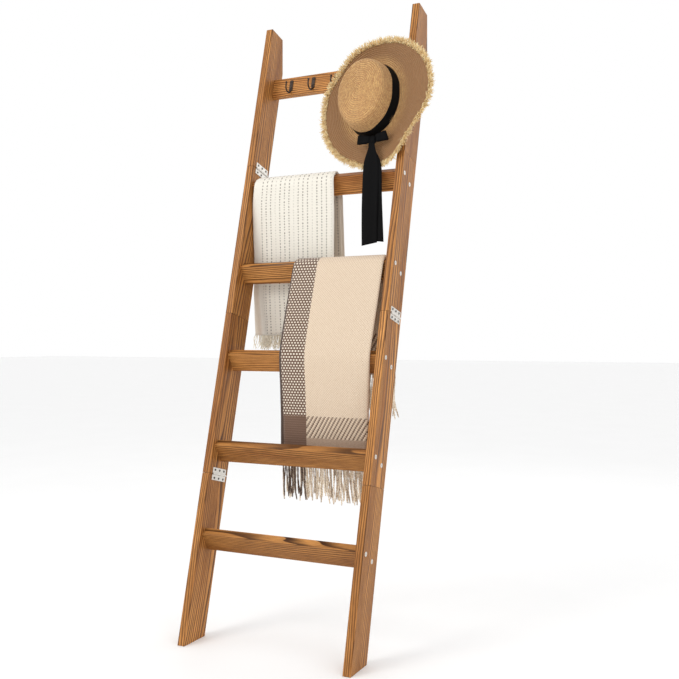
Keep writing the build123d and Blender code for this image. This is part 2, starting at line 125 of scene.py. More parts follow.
# ---------------------------------------------------------------- shader helpers
class Nodes:
    """A small builder for one material's node tree."""

    def __init__(self, name):
        self.material = bpy.data.materials.new(name)
        self.material.use_nodes = True
        self.tree = self.material.node_tree
        self.shader = self.tree.nodes["Principled BSDF"]

    def add(self, kind, **sockets):
        node = self.tree.nodes.new(kind)
        for socket, value in sockets.items():
            self.put(node.inputs[socket.replace("_", " ")], value)
        return node

    def put(self, socket, value):
        if isinstance(value, bpy.types.NodeSocket):
            self.tree.links.new(value, socket)
        elif isinstance(value, tuple) and len(value) == 3 and socket.type == "RGBA":
            socket.default_value = (*value, 1.0)
        else:
            socket.default_value = value

    def maths(self, operation, a, b=0.0, c=0.0):
        node = self.tree.nodes.new("ShaderNodeMath")
        node.operation = operation
        for socket, value in zip(node.inputs, (a, b, c)):
            self.put(socket, value)
        return node.outputs[0]

    def mix(self, share, a, b, blend="MIX"):
        node = self.tree.nodes.new("ShaderNodeMix")
        node.data_type = "RGBA"
        node.blend_type = blend
        self.put(node.inputs[0], share)
        self.put(node.inputs[6], a)
        self.put(node.inputs[7], b)
        return node.outputs[2]

    def ramp(self, value, stops):
        node = self.tree.nodes.new("ShaderNodeValToRGB")
        elements = node.color_ramp.elements
        while len(elements) < len(stops):
            elements.new(0.5)
        for element, (place, colour) in zip(elements, stops):
            element.position = place
            element.color = (*colour, 1.0)
        self.put(node.inputs[0], value)
        return node.outputs[0]

    def spread(self, value, low, high, to_low=0.0, to_high=1.0, smooth=False):
        node = self.tree.nodes.new("ShaderNodeMapRange")
        node.interpolation_type = "SMOOTHSTEP" if smooth else "LINEAR"
        for socket, number in zip(node.inputs, (value, low, high, to_low, to_high)):
            self.put(socket, number)
        return node.outputs[0]

    def objects(self, turn=(0.0, 0.0, 0.0), stretch=(1.0, 1.0, 1.0), shift=(0.0, 0.0, 0.0)):
        coordinates = self.tree.nodes.new("ShaderNodeTexCoord")
        mapping = self.tree.nodes.new("ShaderNodeMapping")
        mapping.inputs["Rotation"].default_value = turn
        mapping.inputs["Scale"].default_value = stretch
        mapping.inputs["Location"].default_value = shift
        self.tree.links.new(coordinates.outputs["Object"], mapping.inputs["Vector"])
        return mapping.outputs[0]

    def own(self, attribute="weave"):
        """The three numbers of a mesh's own attribute, in metres."""
        node = self.tree.nodes.new("ShaderNodeAttribute")
        node.attribute_name = attribute
        split = self.tree.nodes.new("ShaderNodeSeparateXYZ")
        self.tree.links.new(node.outputs["Vector"], split.inputs[0])
        return node.outputs["Vector"], split.outputs

    def noise(self, vector, scale, detail=3.0, rough=0.5):
        node = self.add("ShaderNodeTexNoise", Vector=vector, Scale=scale, Detail=detail, Roughness=rough)
        return node.outputs["Fac"]

    def bump(self, height, distance, strength=1.0):
        return self.add("ShaderNodeBump", Height=height, Distance=distance, Strength=strength).outputs["Normal"]

    def fraction(self, value, pitch):
        """How far value is through its present pitch, 0 to 1."""
        return self.maths("FRACT", self.maths("DIVIDE", value, pitch))

    def count(self, value, pitch):
        """How many whole pitches lie below value."""
        return self.maths("FLOOR", self.maths("DIVIDE", value, pitch))

    def off_middle(self, share):
        """0 where share is 0.5, and 0.5 where it is 0 or 1."""
        return self.maths("ABSOLUTE", self.maths("SUBTRACT", share, 0.5))

    def scaled(self, value, factor):
        return self.maths("MULTIPLY", value, factor)

    def finish(self, **sockets):
        for socket, value in sockets.items():
            self.put(self.shader.inputs[socket.replace("_", " ")], value)
        return self.material


def linear(red, green, blue):
    """A shader colour from 0 to 255 display values."""
    return tuple((c / 255.0) ** 2.2 for c in (red, green, blue))


# ---------------------------------------------------------------- wood
def wood(name, turn, shift, tone=1.0):
    """Stained softwood with its rings along the board. turn brings the board's length to the texture's Z axis."""
    n = Nodes(name)
    long = n.objects(turn, (1.0, 1.0, 1.0), shift)
    wide = n.add("ShaderNodeMapping", Vector=long)
    wide.inputs["Scale"].default_value = (1.0, 1.0, 0.09)
    warp = n.noise(wide.outputs[0], 9.0, 2.0, 0.5)
    split = n.add("ShaderNodeSeparateXYZ", Vector=wide.outputs[0])
    rings = n.maths("SUBTRACT", n.scaled(split.outputs[0], 150.0), n.scaled(split.outputs[1], 120.0))
    rings = n.maths("ADD", rings, n.scaled(warp, 15.0))
    saw = n.maths("FRACT", rings)
    late = n.spread(saw, 0.30, 0.90, smooth=True)
    late = n.maths("MULTIPLY", late, n.spread(saw, 1.0, 0.94, smooth=True))
    fibre = n.add("ShaderNodeMapping", Vector=long)
    fibre.inputs["Scale"].default_value = (1.0, 1.0, 0.025)
    streak = n.noise(fibre.outputs[0], 900.0, 4.0, 0.65)
    blotch = n.noise(wide.outputs[0], 22.0, 3.0, 0.55)
    light, middle, dark = (
        tuple(c * tone for c in linear(*shade)) for shade in ((222, 156, 88), (154, 98, 50), (56, 28, 10))
    )
    base = n.mix(n.spread(blotch, 0.3, 0.7), middle, light)
    base = n.mix(n.maths("MULTIPLY", late, n.spread(blotch, 0.3, 0.7, 0.6, 1.0)), base, dark)
    base = n.mix(n.spread(streak, 0.42, 0.70, 0.0, 0.7), base, dark)
    height = n.maths("SUBTRACT", n.scaled(streak, 0.6), n.scaled(late, 0.5))
    return n.finish(
        Base_Color=base,
        Roughness=n.spread(late, 0.0, 1.0, 0.5, 0.38),
        Normal=n.bump(height, 0.0006, 0.6),
        Specular_IOR_Level=0.2,
        Coat_Weight=0.03,
        Coat_Roughness=0.4,
    )


def steel(name, colour, roughness, wear):
    """Metal with a fine grain. wear is the share of darker patches."""
    n = Nodes(name)
    grain = n.noise(n.objects((0, 0, 0), (1.0, 1.0, 0.12)), 1500.0, 2.0)
    patch = n.noise(n.objects(), 180.0, 3.0)
    return n.finish(
        Base_Color=n.mix(n.spread(patch, 0.35, 0.75, 0.0, wear), colour, tuple(c * 0.45 for c in colour)),
        Metallic=1.0,
        Roughness=n.spread(patch, 0.3, 0.7, roughness - 0.06, roughness + 0.08),
        Normal=n.bump(grain, 0.00008, 0.5),
    )


def dress(node, material):
    shown = frame["nodes"][node]
    shown.data.materials.clear()
    shown.data.materials.append(material)


nickel = steel("nickel", (0.76, 0.73, 0.68), 0.42, 0.2)
screw_steel = steel("screw_steel", (0.13, 0.12, 0.11), 0.4, 0.3)
pin_steel = steel("pin_steel", (0.40, 0.37, 0.34), 0.38, 0.3)
bronze = steel("dark_bronze", (0.075, 0.055, 0.045), 0.42, 0.5)
rail_turn = (LEAN, 0.0, 0.0)
rung_turn = (0.0, math.radians(90.0), 0.0)
# how much lighter or darker than the stain's own colour each board is
TONES = {"hook_board": 1.34, "rung_5": 1.30, "rung_4": 1.06, "rung_3": 1.10, "rung_2": 0.90, "rung_1": 0.92}
RAIL_TONE = 1.08
draw = random.Random(7)
for node in sorted(frame["nodes"]):
    if "rail_" in node or node.startswith("rung_") or node == "hook_board":
        shift = (draw.uniform(0, 3), draw.uniform(0, 3), draw.uniform(0, 9))
        turn = rail_turn if "rail_" in node else rung_turn
        tone = TONES.get(node, RAIL_TONE) * draw.uniform(0.95, 1.05)
        dress(node, wood("wood_" + node, turn, shift, tone))
    elif node.endswith("hinge_screws"):
        dress(node, screw_steel)
    elif node.endswith("_pin"):
        dress(node, pin_steel)
    elif "hinge" in node or "_screws" in node and node != "hook_screws":
        dress(node, nickel)
    elif node.startswith("hook_"):
        dress(node, bronze)

# ---------------------------------------------------------------- floor
floor_mesh = bpy.data.meshes.new("floor")
FLOOR_HALF = 30.0
floor_corners = [(FLOOR_HALF * x, FLOOR_HALF * y, 0) for x, y in ((-1, -1), (1, -1), (1, 1), (-1, 1))]
floor_mesh.from_pydata(floor_corners, [], [(0, 1, 2, 3)])
floor = bpy.data.objects.new("floor", floor_mesh)
floor.location.z = -0.0005
bpy.context.scene.collection.objects.link(floor)
paint = Nodes("floor_paint")
floor_mesh.materials.append(
    paint.finish(
        Base_Color=paint.mix(paint.noise(paint.objects(), 3.0), (0.91, 0.91, 0.91), (0.94, 0.94, 0.94)),
        Roughness=0.7,
    )
)
floor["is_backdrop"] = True


# ---------------------------------------------------------------- mesh helpers
class Build:
    """Points, faces and a three-number attribute of one piece."""

    def __init__(self):
        self.points, self.faces, self.own, self.groups = [], [], [], []

    def take(self, points, faces, own, group=0):
        start = len(self.points)
        self.points += [tuple(p) for p in points]
        self.own += [tuple(o) for o in own]
        self.faces += [tuple(start + i for i in f) for f in faces]
        self.groups += [group] * len(faces)

    def piece(self, name, materials, smooth=True):
        mesh = bpy.data.meshes.new(name)
        mesh.from_pydata(self.points, [], self.faces)
        attribute = mesh.attributes.new("weave", "FLOAT_VECTOR", "POINT")
        attribute.data.foreach_set("vector", np.array(self.own, np.float32).ravel())
        for material in materials:
            mesh.materials.append(material)
        mesh.polygons.foreach_set("material_index", self.groups)
        mesh.polygons.foreach_set("use_smooth", [smooth] * len(mesh.polygons))
        mesh.update()
        made = bpy.data.objects.new(name, mesh)
        bpy.context.scene.collection.objects.link(made)
        return made


def shell(build, grid, own, thickness, group=0, closed=False):
    """A closed skin round a grid of points. closed joins the first row of the grid to the last."""
    rows, columns = grid.shape[:2]
    if closed:
        along = np.roll(grid, -1, 0) - np.roll(grid, 1, 0)
    else:
        along = np.gradient(grid, axis=0)
    normal = np.cross(along, np.gradient(grid, axis=1))
    normal /= np.maximum(np.linalg.norm(normal, axis=2, keepdims=True), 1e-12)
    half = (np.asarray(thickness) / 2 * np.ones((rows, columns)))[..., None]
    front, back = grid + normal * half, grid - normal * half
    count = rows * columns

    def at(i, j, side):
        return side * count + (i % rows) * columns + j

    faces = []
    for i in range(rows if closed else rows - 1):
        for j in range(columns - 1):
            faces.append((at(i, j, 0), at(i + 1, j, 0), at(i + 1, j + 1, 0), at(i, j + 1, 0)))
            faces.append((at(i, j, 1), at(i, j + 1, 1), at(i + 1, j + 1, 1), at(i + 1, j, 1)))
        for j, turned in ((0, False), (columns - 1, True)):
            rim = (at(i, j, 1), at(i + 1, j, 1), at(i + 1, j, 0), at(i, j, 0))
            faces.append(rim[::-1] if turned else rim)
    if not closed:
        for j in range(columns - 1):
            faces.append((at(0, j, 0), at(0, j + 1, 0), at(0, j + 1, 1), at(0, j, 1)))
            faces.append((at(rows - 1, j + 1, 0), at(rows - 1, j, 0), at(rows - 1, j, 1), at(rows - 1, j + 1, 1)))
    points = np.concatenate([front.reshape(-1, 3), back.reshape(-1, 3)])
    build.take(points, faces, np.concatenate([own.reshape(-1, 3)] * 2), group)


def tube(build, line, radii, sides, own, group=0, twist=0.0, lobes=0.0):
    """A round or two-lobed strand along a line of points. twist turns the lobes by that angle at each point."""
    line = np.asarray(line, float)
    tangent = np.gradient(line, axis=0)
    tangent /= np.maximum(np.linalg.norm(tangent, axis=1, keepdims=True), 1e-12)
    reference = np.array([1.0, 0.0, 0.0]) if abs(tangent[0][0]) < 0.8 else np.array([0.0, 1.0, 0.0])
    points, attributes = [], []
    for k, (centre, t) in enumerate(zip(line, tangent)):
        a = np.cross(t, reference)
        a /= np.linalg.norm(a)
        b = np.cross(t, a)
        for s in range(sides):
            angle = 2 * math.pi * s / sides
            r = radii[k] * (1 + lobes * math.cos(2 * (angle - twist * k)))
            points.append(centre + r * (math.cos(angle) * a + math.sin(angle) * b))
            attributes.append(own[k])
    last = len(line) - 1
    faces = [
        (k * sides + s, k * sides + (s + 1) % sides, (k + 1) * sides + (s + 1) % sides, (k + 1) * sides + s)
        for k in range(last)
        for s in range(sides)
    ]
    faces.append(tuple(range(sides))[::-1])
    faces.append(tuple(last * sides + s for s in range(sides)))
    build.take(points, faces, attributes, group)


def rounded(corners, radius, step):
    """Evenly spaced points on a line of straight runs with rounded corners, and their distances along it."""
    corners = [np.array(c, float) for c in corners]
    dense = [corners[0]]
    for before, corner, after in zip(corners, corners[1:], corners[2:]):
        back = (before - corner) / np.linalg.norm(before - corner)
        ahead = (after - corner) / np.linalg.norm(after - corner)
        cut = min(radius, np.linalg.norm(before - corner) * 0.45, np.linalg.norm(after - corner) * 0.45)
        a, b = corner + back * cut, corner + ahead * cut
        for t in np.linspace(0, 1, 12):
            dense.append((1 - t) ** 2 * a + 2 * t * (1 - t) * corner + t * t * b)
    dense = np.array(dense + [corners[-1]])
    along = np.concatenate([[0], np.cumsum(np.linalg.norm(np.diff(dense, axis=0), axis=1))])
    at = np.linspace(0, along[-1], int(round(along[-1] / step)) + 1)
    return np.stack([np.interp(at, along, dense[:, k]) for k in range(dense.shape[1])], axis=1), at


# ---------------------------------------------------------------- folded throws
RUNG_EDGE = 0.024            # narrow side of a rung's section
RUNG_TILT = math.radians(30.5)
HANG = 0.07                  # how far hanging cloth runs back for each metre it falls
TOUCH = 0.0008               # between cloth and wood
PITCH = 0.0027               # layer to layer
SHEET = 0.0023               # cloth thickness
ROUND_X = 1.7                # a fold is this much deeper than half its height
BEND = 0.016                 # radius where the drape turns over an edge of wood
STEP = 0.009                 # between points along the drape


def rung_points(node):
    """(y, z) of a rung's front top, back top and rear corners, from its CAD box."""
    low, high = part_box(node)
    rise, run = RUNG_EDGE * math.sin(RUNG_TILT), RUNG_EDGE * math.cos(RUNG_TILT)
    return (low.y, high.z - rise), (low.y + run, high.z), (high.y, low.z + rise)


def hang_to(start, z):
    """(y, z) where cloth that hangs from start reaches the height z."""
    return (start[0] + (start[1] - z) * HANG, z)


def smooth_step(share):
    """0 below 0, 1 above 1 and a smooth rise between."""
    share = np.clip(share, 0.0, 1.0)
    return share ** 2 * (3 - 2 * share)


def drape(corners, left, right, open_side, step_back, spread_out, ease):
    """A sheet folded to four layers and laid along corners: its grid, its own coordinates, the
    distances along the drape and the drape's normals.

    left and right give the stack's edges as functions of the distance along the drape.
    open_side is -1 where the free edges are at the left and 1 where they are at the right.
    step_back gives how far the outermost layer's left edge lies right of the innermost one's, and
    spread_out how much of that is at the outermost layer alone: 1 shares it between the layers.
    ease gives the shares of the width, from the right, between which the step comes in.
    """
    line, at = rounded(corners, BEND, STEP)
    tangent = np.gradient(line, axis=0)
    tangent /= np.linalg.norm(tangent, axis=1, keepdims=True)
    normal = np.stack([-tangent[:, 1], tangent[:, 0]], axis=1)
    gaps = [TOUCH + SHEET / 2 + PITCH * k for k in range(4)]
    width = abs(right(0.0) - left(0.0))
    # cross-section in (distance from the free side, height), outermost layer first
    outer_turn, inner_turn = 1.5 * PITCH, 0.5 * PITCH
    free_inset, inner_inset, turn_gap = 0.0025, 0.006, 0.0006
    section = []

    def run(start, end, height, count):
        for t in np.linspace(0, 1, count)[:-1]:
            section.append((start + (end - start) * t, height))

    def turn(place, low, high, way, upward):
        middle, radius = (low + high) / 2, (high - low) / 2
        for t in np.linspace(0, math.pi, 9)[:-1]:
            lift = -math.cos(t) if upward else math.cos(t)
            section.append((place + way * radius * ROUND_X * math.sin(t), middle + radius * lift))

    far_outer = width - outer_turn * ROUND_X
    far_inner = far_outer - turn_gap
    near_inner = inner_turn * ROUND_X + inner_inset
    run(0.0, far_outer, gaps[3], 34)
    turn(far_outer, gaps[0], gaps[3], 1, False)
    run(far_outer, near_inner, gaps[0], 34)
    turn(near_inner, gaps[0], gaps[1], -1, True)
    run(near_inner, far_inner, gaps[1], 34)
    turn(far_inner, gaps[1], gaps[2], 1, True)
    run(far_inner, free_inset, gaps[2], 34)
    section.append((free_inset, gaps[2]))
    section = np.array(section)
    u = np.concatenate([[0], np.cumsum(np.linalg.norm(np.diff(section, axis=0), axis=1))])
    grid = np.zeros((len(section), len(line), 3))
    own = np.zeros_like(grid)
    for j, s in enumerate(at):
        edge_left, edge_right = left(s), right(s)
        share = section[:, 0] / width
        if open_side < 0:
            x = edge_left + (edge_right - edge_left) * share
        else:
            x = edge_right - (edge_right - edge_left) * share
        from_right = (edge_right - x) / (edge_right - edge_left)
        closeness = smooth_step((from_right - ease[0]) / (ease[1] - ease[0]))
        depth = np.clip((section[:, 1] - gaps[0]) / (gaps[3] - gaps[0]), 0, 1) ** spread_out
        grid[:, j, 0] = x + step_back(s) * closeness * depth
        grid[:, j, 1] = line[j, 0] + normal[j, 0] * section[:, 1]
        grid[:, j, 2] = line[j, 1] + normal[j, 1] * section[:, 1]
        own[:, j, 0] = u
        own[:, j, 1] = s
    own[:, :, 2] = at[-1]
    return grid, own, at, normal


def fall(at, crest, reach):
    """0 where the cloth lies on wood, growing to 1 towards a hem."""
    return np.clip((np.abs(at - crest) - reach) / 0.30, 0, 1) ** 1.2


def ripple(grid, at, crest, reach, size, waves, seed, normal):
    """Adds soft upright folds and small dents to a drape, the same for all layers."""
    source = random.Random(seed)
    x = grid[:, :, 0]
    amount = np.zeros_like(x)
    for wave in waves:
        phase, drift = source.uniform(0, 6.28), source.uniform(-2.0, 2.0)
        amount += np.sin(2 * math.pi * x / wave + phase + drift * at[None, :] * 3) / len(waves)
    dents = np.sin(x * 57 + at[None, :] * 31 + seed) * np.sin(at[None, :] * 43 + x * 21) * 0.35
    lift = size * fall(at, crest, reach)[None, :] * (0.75 + 0.75 * amount + dents)
    grid[:, :, 1] += lift * normal[None, :, 0]
    grid[:, :, 2] += lift * normal[None, :, 1]


# ---- white throw over the top rung: free edges at the right, a full round fold at the left
low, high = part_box("white_throw")
front, crest, rear = rung_points("rung_5")
WHITE_DROP, WHITE_SHORT = 0.022, 0.020   # the front hem below its CAD solid, the back hem above it
hem_front, hem_back = low.z - WHITE_DROP, low.z + WHITE_SHORT
white_corners = [hang_to(front, hem_front), front, crest, rear, hang_to(rear, hem_back)]
white_left, white_right = low.x, high.x
white_crest = (front[1] - hem_front) + RUNG_EDGE / 2


def white_left_edge(s):
    """Drawn in over the rung, and let out to the left towards the front hem."""
    over_rung = 0.010 * math.exp(-(((s - white_crest) / 0.05) ** 2))
    let_out = 0.014 * smooth_step((0.235 - s) / 0.12)
    return white_left + 0.001 + over_rung - let_out


def white_step_back(s):
    return 0.027 * smooth_step((0.225 - s) / 0.10) + 0.008 * max(0.0, (0.12 - s) / 0.12) ** 1.5


def white_right_edge(s):
    behind = min(1.0, max(0.0, (s - white_crest) / 0.05))
    return white_right - 0.005 - 0.006 * math.exp(-((s - 0.2) / 0.12) ** 2) - 0.005 * behind


white_grid, white_own, white_at, white_normal = drape(
    white_corners, white_left_edge, white_right_edge, 1, white_step_back, spread_out=1.0, ease=(0.78, 1.0)
)
ripple(white_grid, white_at, white_crest, 0.05, 0.0022, (0.13, 0.07), 5, white_normal)
WHITE_TURN = float(white_own[-1, 0, 0]) / 4   # own distance across, where the cloth turns under at the left


def white_cloth(name):
    """Off-white weave with columns of dark knots, and a plain zone along the round fold."""
    n = Nodes(name)
    vector, (u, v, _) = n.own()
    column = n.maths("DIVIDE", u, 0.016)
    which = n.maths("FLOOR", column)
    wobble = n.noise(vector, 60.0, 2.0)
    yarn = n.noise(vector, 700.0, 3.0, 0.6)
    row = n.maths("FRACT", n.maths("ADD", n.maths("DIVIDE", v, 0.0080), n.scaled(wobble, 1.2)))
    # millimetres from the middle of the nearest knot
    across = n.scaled(n.maths("SUBTRACT", n.maths("FRACT", column), 0.5), 16.0)
    along = n.scaled(n.maths("SUBTRACT", row, 0.5), 8.0)
    away = n.maths("SQRT", n.maths("ADD", n.maths("MULTIPLY", across, across), n.maths("MULTIPLY", along, along)))
    away = n.maths("ADD", away, n.scaled(n.maths("SUBTRACT", yarn, 0.5), 1.6))
    dash = n.spread(away, 2.7, 1.3, smooth=True)
    faint = n.spread(n.maths("FRACT", n.scaled(which, 0.2501)), 0.1, 0.2, 0.35, 1.0)
    plain = n.spread(n.maths("ABSOLUTE", n.maths("SUBTRACT", u, WHITE_TURN)), 0.026, 0.028)
    dash = n.maths("MULTIPLY", n.maths("MULTIPLY", dash, plain), faint)
    dash = n.maths("MULTIPLY", dash, n.spread(wobble, 0.25, 0.6, 0.6, 1.0))
    rib, weft = n.off_middle(n.fraction(u, 0.004)), n.off_middle(n.fraction(v, 0.0026))
    body = n.mix(n.spread(yarn, 0.3, 0.7), linear(222, 216, 203), linear(244, 241, 231))
    body = n.mix(n.scaled(n.spread(rib, 0.12, 0.0), 0.16), body, linear(196, 186, 170))
    # painted shade: the inner layers and the back, which lie in shadow, are mixed halfway to a tan
    inner, back = n.spread(u, WHITE_TURN, WHITE_TURN + 0.004), n.spread(v, white_crest, white_crest + 0.06)
    body = n.mix(n.scaled(n.maths("MAXIMUM", inner, back), 0.5), body, linear(196, 172, 148))
    body = n.mix(n.scaled(dash, 0.85), body, linear(84, 72, 62))
    height = n.maths("ADD", n.scaled(rib, 1.6), n.scaled(weft, 0.9))
    height = n.maths("ADD", height, n.scaled(yarn, 0.7))
    height = n.maths("SUBTRACT", height, n.scaled(dash, 0.6))
    return n.finish(
        Base_Color=body,
        Roughness=0.92,
        Normal=n.bump(height, 0.0009, 0.75),
        Sheen_Weight=0.25,
        Sheen_Roughness=0.5,
    )


build = Build()
shell(build, white_grid, white_own, SHEET)
white_throw = build.piece("white_throw_cloth", [white_cloth("white_weave")])
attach(white_throw, "white_throw_body")
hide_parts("white_throw")


# ---- beige throw over the next rung down and in front of the one below it: free edges at the left
low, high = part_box("beige_throw")
front, crest, rear = rung_points("rung_4")
lower_front = rung_points("rung_3")[0]
BEIGE_SHORT = 0.220          # the back hem is this much higher than the front one
hem_front, hem_back = low.z, low.z + BEIGE_SHORT
beige_corners = [hang_to(lower_front, hem_front), lower_front, front, crest, rear, hang_to(rear, hem_back)]
beige_left, beige_right = low.x, high.x
beige_crest = (lower_front[1] - hem_front) + math.dist(lower_front, front) + RUNG_EDGE / 2


def beige_step_back(s):
    return 0.0065 + 0.008 * max(0.0, 1.0 - s / beige_crest)


def beige_left_edge(s):
    wave = 0.002 * math.sin(s * 14.0)
    return beige_left + 0.002 + wave - beige_step_back(s) - 0.004 * (1.0 - s / beige_crest)


def beige_right_edge(s):
    """Drawn in towards the front hem."""
    narrow = max(0.0, 1.0 - s / beige_crest)
    return beige_right - 0.002 - 0.024 * narrow ** 1.1


beige_grid, beige_own, beige_at, beige_normal = drape(
    beige_corners, beige_left_edge, beige_right_edge, -1, beige_step_back, spread_out=6.0, ease=(0.0, 0.7)
)
ripple(beige_grid, beige_at, beige_crest, 0.03, 0.0016, (0.16, 0.09), 9, beige_normal)
BEIGE_WIDTH = float(beige_own[-1, 0, 0])
BEIGE_LENGTH = float(beige_at[-1])
BAND = 0.070                 # brown border along the sides
END_PLAIN = 0.054            # plain taupe end, from the hem
END_CHECK = 0.113            # from the hem to the end of the checks above it
SQUARE_ROW = 0.0072          # rows of pale squares in the border
BASKET = (0.0036, 0.0068)    # cells of the cream middle, across and along
STAIR = (0.0032, 0.0050)     # steps of the slanting checks, across and along
EDGE = 0.0005                # half of the change from one part of the pattern to the next


def beige_cloth(name):
    """Cream basket weave with checked and plain ends, inside a brown border of pale squares."""
    n = Nodes(name)
    vector, (u, v, _) = n.own()
    end = n.maths("MINIMUM", v, n.maths("SUBTRACT", BEIGE_LENGTH, v))
    side = n.maths("MINIMUM", u, n.maths("SUBTRACT", BEIGE_WIDTH, u))
    yarn = n.noise(vector, 650.0, 3.0, 0.6)

    def cell(value, pitch, share, soft=0.08):
        """1 in the middle of each pitch, over share of it, with soft edges."""
        place = n.off_middle(n.fraction(value, pitch))
        return n.spread(place, share / 2 + soft, share / 2 - soft, smooth=True)

    odd = n.maths("FLOORED_MODULO", n.count(v, SQUARE_ROW), 2.0)
    staggered = n.maths("ADD", side, n.scaled(odd, BAND / 16))
    square = n.maths("MULTIPLY", cell(staggered, BAND / 8, 0.52, 0.12), cell(v, SQUARE_ROW, 0.50, 0.12))
    brown = n.mix(n.spread(yarn, 0.3, 0.7), linear(88, 64, 50), linear(118, 91, 74))
    grid_band = n.mix(square, brown, linear(240, 228, 210))
    basket_odd = n.maths("FLOORED_MODULO", n.count(u, BASKET[0]), 2.0)
    basket_shift = n.maths("ADD", n.scaled(basket_odd, BASKET[1] / 2), n.scaled(yarn, 0.0016))
    basket_v = n.maths("ADD", v, basket_shift)
    basket_rows = n.maths("MULTIPLY", cell(basket_v, BASKET[1], 0.42, 0.14), cell(u, BASKET[0], 0.6, 0.14))
    cream = n.mix(n.spread(yarn, 0.3, 0.75), linear(214, 192, 166), linear(236, 218, 196))
    cream = n.mix(n.scaled(basket_rows, 0.75), cream, linear(188, 160, 132))
    slant, stair = n.scaled(n.count(u, STAIR[0]), STAIR[0]), n.scaled(n.count(v, STAIR[1]), -STAIR[0])
    check = n.fraction(n.maths("ADD", n.maths("ADD", slant, stair), 10.0), 4 * STAIR[0])
    check = n.spread(check, 0.49, 0.51)
    checked = n.mix(n.scaled(check, 0.95), cream, linear(82, 56, 42))
    taupe = n.mix(n.spread(yarn, 0.3, 0.7), linear(162, 138, 118), linear(194, 168, 146))
    taupe = n.mix(n.scaled(cell(u, 0.0042, 0.4), 0.2), taupe, linear(120, 98, 82))
    middle = n.mix(n.spread(end, END_CHECK - EDGE, END_CHECK + EDGE), checked, cream)
    middle = n.mix(n.spread(end, END_PLAIN - EDGE, END_PLAIN + EDGE), taupe, middle)
    dark = n.mix(n.scaled(cell(v, 0.0062, 0.35), 0.5), linear(118, 92, 76), linear(84, 60, 46))
    border = n.mix(n.spread(end, END_CHECK - EDGE, END_CHECK + EDGE), dark, grid_band)
    # painted shade: the last 15 mm of the innermost layer, whose free edge shows at the left beside the outer layers,
    # is darkened as if in shadow
    edge_band = n.spread(n.maths("SUBTRACT", BEIGE_WIDTH, u), 0.017, 0.015)
    border = n.mix(edge_band, border, linear(72, 54, 44))
    colour = n.mix(n.spread(side, BAND - 0.0006, BAND + 0.0006), border, middle)
    warp, weft = n.off_middle(n.fraction(u, 0.0021)), n.off_middle(n.fraction(v, 0.0018))
    height = n.maths("ADD", warp, n.scaled(weft, 0.8))
    height = n.maths("ADD", height, n.scaled(yarn, 0.8))
    height = n.maths("ADD", height, n.scaled(basket_rows, -0.35))
    return n.finish(
        Base_Color=colour,
        Roughness=0.93,
        Normal=n.bump(height, 0.0009, 0.75),
        Sheen_Weight=0.2,
        Sheen_Roughness=0.5,
    )


build = Build()
shell(build, beige_grid, beige_own, SHEET)
beige_throw = build.piece("beige_throw_cloth", [beige_cloth("beige_weave")])
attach(beige_throw, "beige_throw_body")
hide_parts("beige_throw")


# ---------------------------------------------------------------- fringes
def hem_points(grid, own, end, pitch, source):
    """Places along a hem, one strand's root each, with the cloth's own u there."""
    j = 0 if end == "front" else grid.shape[1] - 1
    u = own[:, j, 0]
    count = int(u[-1] / pitch)
    for k in range(count):
        at = (k + 0.5 + source.uniform(-0.2, 0.2)) / count * u[-1]
        yield np.array([np.interp(at, u, grid[:, j, axis]) for axis in range(3)]), at


def fringe(build, grid, own, length, pitch, radius, spec, groups):
    """Twisted strands under both hems, pitch apart. groups picks a strand's material from its own u.

    spec gives the seed, the raggedness and sway as shares of the length, the points and sides of a
    strand, the size of the knot near its end, and its twist and lobes.
    """
    source = random.Random(spec["seed"])
    for end in ("front", "back"):
        for root, u in hem_points(grid, own, end, pitch, source):
            long = length * source.uniform(1 - spec["ragged"], 1.0)
            sway = source.gauss(0, spec["sway"])
            lag = source.gauss(0, spec["sway"] * 0.35)
            bend = source.gauss(0, spec["sway"] * 0.6)
            phase = source.uniform(0, 6.28)
            line, radii, attributes = [], [], []
            start = root + np.array([0.0, 0.0, 0.003])
            for k in range(spec["steps"] + 1):
                t = k / spec["steps"]
                x = start[0] + sway * t ** 1.5 * long + bend * math.sin(t * 3.1) * long * 0.5
                x += 0.0006 * math.sin(phase + t * 9)
                y = start[1] + HANG * t * long + lag * t * t * long
                line.append((x, y, start[2] - t * long))
                knot = 1.0 + spec["knot"] * math.exp(-(((t - 0.93) / 0.03) ** 2))
                radii.append(radius * knot * (1.0 if t < 0.97 else 0.75))
                attributes.append((u, t * long, phase))
            tube(build, line, radii, spec["sides"], attributes, groups(u, source), spec["twist"], spec["lobes"])


def yarn_material(name, dark, light):
    n = Nodes(name)
    vector, (u, v, phase) = n.own()
    tone = n.noise(vector, 300.0, 2.0)
    spiral = n.maths("SINE", n.maths("ADD", n.maths("MULTIPLY", v, 900.0), phase))
    colour = n.mix(n.spread(n.maths("ADD", tone, n.maths("MULTIPLY", spiral, 0.12)), 0.3, 0.7), dark, light)
    return n.finish(
        Base_Color=colour,
        Roughness=0.95,
        Normal=n.bump(n.maths("ADD", spiral, tone), 0.0004, 0.7),
        Sheen_Weight=0.2,
    )


white_yarn = yarn_material("white_yarn", linear(236, 226, 204), linear(252, 247, 232))
brown_yarn = yarn_material("brown_yarn", linear(70, 55, 46), linear(122, 103, 90))
cream_yarn = yarn_material("cream_yarn", linear(228, 210, 186), linear(252, 242, 224))
taupe_yarn = yarn_material("taupe_yarn", linear(184, 166, 146), linear(222, 206, 186))

build = Build()
fringe(
    build,
    white_grid,
    white_own,
    length=0.048,
    pitch=0.0040,
    radius=0.0011,
    spec={"seed": 21, "ragged": 0.4, "sway": 0.22, "steps": 7, "sides": 5, "knot": 0.0, "twist": 0.9, "lobes": 0.2},
    groups=lambda u, source: 0,
)
white_fringe = build.piece("white_throw_strands", [white_yarn])
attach(white_fringe, "white_throw_body")
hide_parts("white_throw_fringe")


